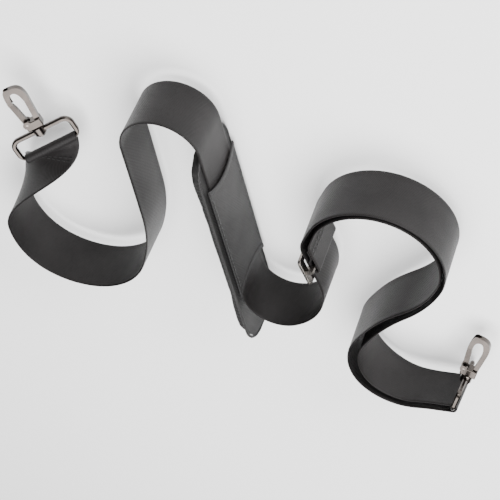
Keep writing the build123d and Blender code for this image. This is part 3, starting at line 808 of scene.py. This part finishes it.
class STRAP_OT_hardware(bpy.types.Operator):
    """Finishes the rings, hooks, gates, rivets, springs and the slider"""

    bl_idname = "strap.hardware"
    bl_label = "Hardware"

    def execute(self, context):
        settings = context.scene.strap_hardware
        base = tuple(settings.colour)
        rough = settings.roughness
        nickel = metal_material("Dark Nickel", base, (0.095, 0.083, 0.075), rough, 0.05)
        gate = metal_material("Gate Nickel", (0.030, 0.026, 0.024), (0.075, 0.066, 0.060), rough + 0.04)
        rivet = metal_material("Polished Rivet", (0.11, 0.098, 0.09), (0.20, 0.18, 0.165), 0.12)
        plate = metal_material("Bright Slider", (0.17, 0.155, 0.145), (0.28, 0.26, 0.24), 0.2)
        wire = metal_material("Spring Wire", (0.55, 0.55, 0.56), (0.66, 0.66, 0.66), 0.2)
        for side in ("a", "b"):
            repaint(("swivel_ring_" + side, "hook_body_" + side), nickel)
            repaint(("hook_gate_" + side,), gate)
            repaint(("swivel_post_" + side, "gate_pin_" + side), rivet)
            repaint(("gate_spring_" + side,), wire)
        repaint(("slider",), plate)
        for name, width in EASED_EDGES.items():
            ease_edges(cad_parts[name], width)
        return {"FINISHED"}


class STRAP_OT_stage(bpy.types.Operator):
    """Adds the pale floor, the soft lights and the camera"""

    bl_idname = "strap.stage"
    bl_label = "Stage"

    def execute(self, context):
        settings = context.scene.strap_stage
        build_floor()
        build_lights(settings.key_power)
        build_camera(settings.lens)
        return {"FINISHED"}


class STRAP_PT_panel(bpy.types.Panel):
    """Lists the steps and their settings"""

    bl_idname = "STRAP_PT_panel"
    bl_label = "Strap"
    bl_space_type = "VIEW_3D"
    bl_region_type = "UI"
    bl_category = "Strap"

    def draw(self, context):
        for group in SETTINGS:
            settings = getattr(context.scene, group)
            for name in settings.__annotations__:
                self.layout.prop(settings, name)
        for operator in OPERATORS:
            self.layout.operator(operator.bl_idname)


# ------------------------------------------------------------------ pad pieces
def cushion_object(voxel, pressure):
    """Copy of the foam, remeshed, blown up by cloth pressure and held to the pad's space."""
    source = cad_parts["pad_foam"]
    mesh = source.data.copy()
    mesh.name = "pad_cushion"
    mesh.materials.clear()
    obj = new_object("pad_cushion", mesh)
    remesh = obj.modifiers.new("Remesh", "REMESH")
    remesh.mode = "VOXEL"
    remesh.voxel_size = voxel
    bake_modifiers(obj)
    rest = [v.co.copy() for v in obj.data.vertices]
    blow_up(obj, pressure)
    into = pad_matrix()
    back = into.inverted()
    cap = SWELL_CAP * MM
    for vertex, home in zip(obj.data.vertices, rest):
        move = vertex.co - home
        if move.length > cap:
            move = move.normalized() * cap
        place = back @ (home + move)
        crown = 1.0 - min(1.0, abs(place.y) / (PAD_W / 2)) ** 2.5
        if place.z > FRONT_TOP + CROWN_FROM:
            place.z += CROWN * crown
        place.z = min(max(place.z, FRONT_TOP + TOUCH_AIR), PAD_D + SWELL_ROOM)
        vertex.co = into @ place
    for polygon in obj.data.polygons:
        polygon.use_smooth = True
    smooth = obj.modifiers.new("Smooth", "SUBSURF")
    smooth.levels = 1
    smooth.render_levels = 1
    return obj


def bake_modifiers(obj):
    graph = bpy.context.evaluated_depsgraph_get()
    mesh = bpy.data.meshes.new_from_object(obj.evaluated_get(graph))
    mesh.name = obj.name
    obj.modifiers.clear()
    obj.data = mesh


def blow_up(obj, pressure):
    scene = bpy.context.scene
    cloth = obj.modifiers.new("Cloth", "CLOTH")
    cloth.settings.use_pressure = True
    cloth.settings.uniform_pressure_force = pressure
    cloth.settings.effector_weights.gravity = 0.0
    cloth.settings.mass = CLOTH_MASS
    cloth.point_cache.frame_start = 1
    cloth.point_cache.frame_end = SIM_FRAMES
    for number in range(1, SIM_FRAMES + 1):
        scene.frame_set(number)
    bake_modifiers(obj)
    scene.frame_set(1)


def sheet_object(name, grid, thickness):
    """Closed cloth shell from a grid of pad-plane points, thickened away from the webbing."""
    bm = bmesh.new()
    into = pad_matrix()
    rows = []
    for line in grid:
        near = [bm.verts.new(into @ Vector(p)) for p in line]
        far = [bm.verts.new(into @ (Vector(p) + Vector((0, 0, thickness)))) for p in line]
        rows.append((near, far))
    for (near, far), (next_near, next_far) in zip(rows, rows[1:]):
        for k in range(len(near) - 1):
            bm.faces.new((near[k], near[k + 1], next_near[k + 1], next_near[k]))
            bm.faces.new((far[k], next_far[k], next_far[k + 1], far[k + 1]))
        for k in (0, len(near) - 1):
            bm.faces.new((near[k], next_near[k], next_far[k], far[k]))
    for near, far in (rows[0], rows[-1]):
        for k in range(len(near) - 1):
            bm.faces.new((near[k], far[k], far[k + 1], near[k + 1]))
    return finish_mesh(bm, name, 50.0)


def front_panel():
    """Flat cover under the webbing, out to the piping."""
    reach = PAD_L / 2 - PANEL_END
    grid = []
    for k in range(PANEL_LINES + 1):
        x = -reach + 2 * reach * k / PANEL_LINES
        half = max(half_width_at(x), PANEL_NARROW)
        line = []
        for j in range(PANEL_ROWS + 1):
            y = -half + 2 * half * j / PANEL_ROWS
            rim = min(1.0, (half - abs(y)) / RIM_W)
            z = FRONT_FACE + PANEL_LIFT + RIM_DIP * (1 - rim)
            line.append((x + PAD_FROM + PAD_L / 2, y, z))
        grid.append(line)
    return sheet_object("pad_front_panel", grid, PANEL_T)


def hem_edge(y, end):
    """Place along the pad of the curved sleeve end at a height y."""
    half = SLEEVE_W / 2
    radius = (half * half + HEM_DEPTH * HEM_DEPTH) / (2 * HEM_DEPTH)
    dip = math.sqrt(radius * radius - y * y) - (radius - HEM_DEPTH)
    return SLEEVE_FROM + dip if end == 0 else SLEEVE_FROM + SLEEVE_L - dip


def sleeve_height(x, y):
    """Outer face of the sleeve: raised over the webbing, sewn down at the flanks."""
    flank = SLEEVE_W / 2 - abs(y)
    raised = min(1.0, max(0.0, (flank - 2.4) / 3.2))
    raised = raised * raised * (3 - 2 * raised)
    ripple = 0.11 * math.sin(x / 7.3 + 0.11 * y) * math.sin(x / 17.0 + 1.3) * raised
    dome = 0.5 * raised * (1.0 - (y / (WEB_W / 2 + FLANK_W)) ** 2)
    return -FRONT_TOP - max(dome, 0.0) - ripple


def sleeve_object():
    grid = []
    for k in range(SLEEVE_LINES + 1):
        line = []
        for j in range(SLEEVE_ROWS + 1):
            y = -SLEEVE_W / 2 + SLEEVE_W * j / SLEEVE_ROWS
            low, high = hem_edge(y, 0), hem_edge(y, 1)
            x = low + (high - low) * k / SLEEVE_LINES
            outer = sleeve_height(x, y)
            if SLEEVE_W / 2 - abs(y) < FLANK_W:
                outer = min(outer, -FRONT_TOP)
            line.append((x, y, outer))
        grid.append(line)
    return sheet_object("pad_sleeve_cloth", grid, SLEEVE_T)


def hem_object():
    """Two folded bindings along the curved ends of the sleeve."""
    bm = bmesh.new()
    into = pad_matrix()
    half = SLEEVE_W / 2 - HEM_INSET
    for end, sign in ((0, 1.0), (1, -1.0)):
        lines = []
        for j in range(HEM_ROWS + 1):
            y = -half + 2 * half * j / HEM_ROWS
            x = hem_edge(y, end)
            face = sleeve_height(x, y)
            lines.append([bm.verts.new(into @ Vector((x + sign * a, y, face + b)))
                          for a, b in HEM_SECTION])
        for first, second in zip(lines, lines[1:]):
            for k in range(len(HEM_SECTION) - 1):
                bm.faces.new((first[k], first[k + 1], second[k + 1], second[k]))
            bm.faces.new((first[-1], first[0], second[0], second[-1]))
        bm.faces.new(lines[0])
        bm.faces.new(lines[-1][::-1])
    return finish_mesh(bm, "pad_hem_binding", 60.0)


def piping_object():
    """Cord round the rim, with the slight lumps of its filler."""
    out = PIPING_R + PIPING_AIR
    outline = rounded_outline(PAD_L + 2 * out, PAD_W + 2 * out, PAD_ROUND + out, 14)
    dense = []
    for a, b in zip(outline, outline[1:] + outline[:1]):
        count = max(1, round((b - a).length / PIPING_STEP))
        for k in range(count):
            dense.append(a.lerp(b, k / count))
    bm = bmesh.new()
    into = pad_matrix()
    rings = []
    for k, point in enumerate(dense):
        ahead = dense[(k + 1) % len(dense)] - dense[k - 1]
        normal = Vector((ahead.y, -ahead.x)).normalized()
        radius = PIPING_R * (1 - PIPING_LUMP + PIPING_LUMP * math.sin(k * 1.7))
        ring = []
        for j in range(PIPING_SIDES):
            angle = 2 * math.pi * j / PIPING_SIDES
            shift = normal * (radius * math.cos(angle))
            ring.append(bm.verts.new(into @ Vector((
                point.x + shift.x + PAD_FROM + PAD_L / 2, point.y + shift.y,
                FRONT_TOP + radius * math.sin(angle)))))
        rings.append(ring)
    for first, second in zip(rings, rings[1:] + rings[:1]):
        for j in range(PIPING_SIDES):
            n = (j + 1) % PIPING_SIDES
            bm.faces.new((first[j], first[n], second[n], second[j]))
    return finish_mesh(bm, "pad_piping_cord", 80.0)


# ------------------------------------------------------------------ stage
def build_floor():
    bm = bmesh.new()
    bmesh.ops.create_grid(bm, x_segments=2, y_segments=2, size=6.0)
    floor = finish_mesh(bm, "pale_floor")
    floor.location.z = -0.0005
    material, tree, shader = blank_material("Pale Floor")
    noise = tree.nodes.new("ShaderNodeTexNoise")
    noise.inputs["Scale"].default_value = 3.0
    tint = tree.nodes.new("ShaderNodeMix")
    tint.data_type = "RGBA"
    tint.inputs[6].default_value = (0.94, 0.94, 0.94, 1.0)
    tint.inputs[7].default_value = (0.97, 0.97, 0.97, 1.0)
    link(tree, noise.outputs["Fac"], tint.inputs[0])
    link(tree, tint.outputs[2], shader.inputs["Base Color"])
    shader.inputs["Roughness"].default_value = 0.9
    paint(floor, material)


def area_light(name, place, target, size, power):
    data = bpy.data.lights.new(name, "AREA")
    data.shape = "RECTANGLE"
    data.size, data.size_y = size
    data.energy = power
    obj = bpy.data.objects.new(name, data)
    obj.location = place
    direction = Vector(target) - Vector(place)
    obj.rotation_euler = direction.to_track_quat("-Z", "Y").to_euler()
    bpy.context.scene.collection.objects.link(obj)


def build_lights(power):
    area_light("front_key", (-0.5, -1.5, 0.6), (0.0, 0.0, 0.03), (1.0, 0.5), power * 1.4)
    area_light("top_soft", (-0.5, -0.1, 1.7), (0.0, 0.0, 0.0), (2.2, 2.2), power * 5.5)
    world = bpy.data.worlds.new("Studio")
    world.use_nodes = True
    background = world.node_tree.nodes["Background"]
    background.inputs["Color"].default_value = (1.0, 1.0, 1.0, 1.0)
    background.inputs["Strength"].default_value = 0.22
    bpy.context.scene.world = world


def build_camera(lens):
    data = bpy.data.cameras.new("camera")
    data.lens = lens
    data.sensor_width = 36.0
    data.clip_start = 0.05
    data.clip_end = 20.0
    obj = bpy.data.objects.new("camera", data)
    right = Vector((-0.92258, -0.22759, -0.31153)).normalized()
    back = Vector((0.0, -0.80747, 0.58991)).normalized()
    up = back.cross(right).normalized()
    right = up.cross(back)
    matrix = Matrix((right, up, back)).transposed().to_4x4()
    matrix.translation = (Vector((0.0, -1049.7, 790.6)) + PLAN_SHIFT) * MM
    obj.matrix_world = matrix
    bpy.context.scene.collection.objects.link(obj)
    bpy.context.scene.camera = obj


# ------------------------------------------------------------------ add-on
SETTINGS = {
    "strap_webbing": WebbingSettings,
    "strap_pad": PadSettings,
    "strap_hardware": HardwareSettings,
    "strap_stage": StageSettings,
}
OPERATORS = (
    STRAP_OT_webbing,
    STRAP_OT_pad_cushion,
    STRAP_OT_pad_covers,
    STRAP_OT_stitching,
    STRAP_OT_hardware,
    STRAP_OT_stage,
)


def register():
    for cls in (*SETTINGS.values(), *OPERATORS, STRAP_PT_panel):
        bpy.utils.register_class(cls)
    for name, cls in SETTINGS.items():
        setattr(bpy.types.Scene, name, bpy.props.PointerProperty(type=cls))


def unregister():
    for name in SETTINGS:
        delattr(bpy.types.Scene, name)
    for cls in (STRAP_PT_panel, *reversed(OPERATORS), *SETTINGS.values()):
        bpy.utils.unregister_class(cls)


def main():
    register()
    bpy.ops.strap.webbing()
    bpy.ops.strap.pad_cushion()
    bpy.ops.strap.pad_covers()
    bpy.ops.strap.stitching()
    bpy.ops.strap.hardware()
    bpy.ops.strap.stage()


if __name__ == "__main__":
    main()
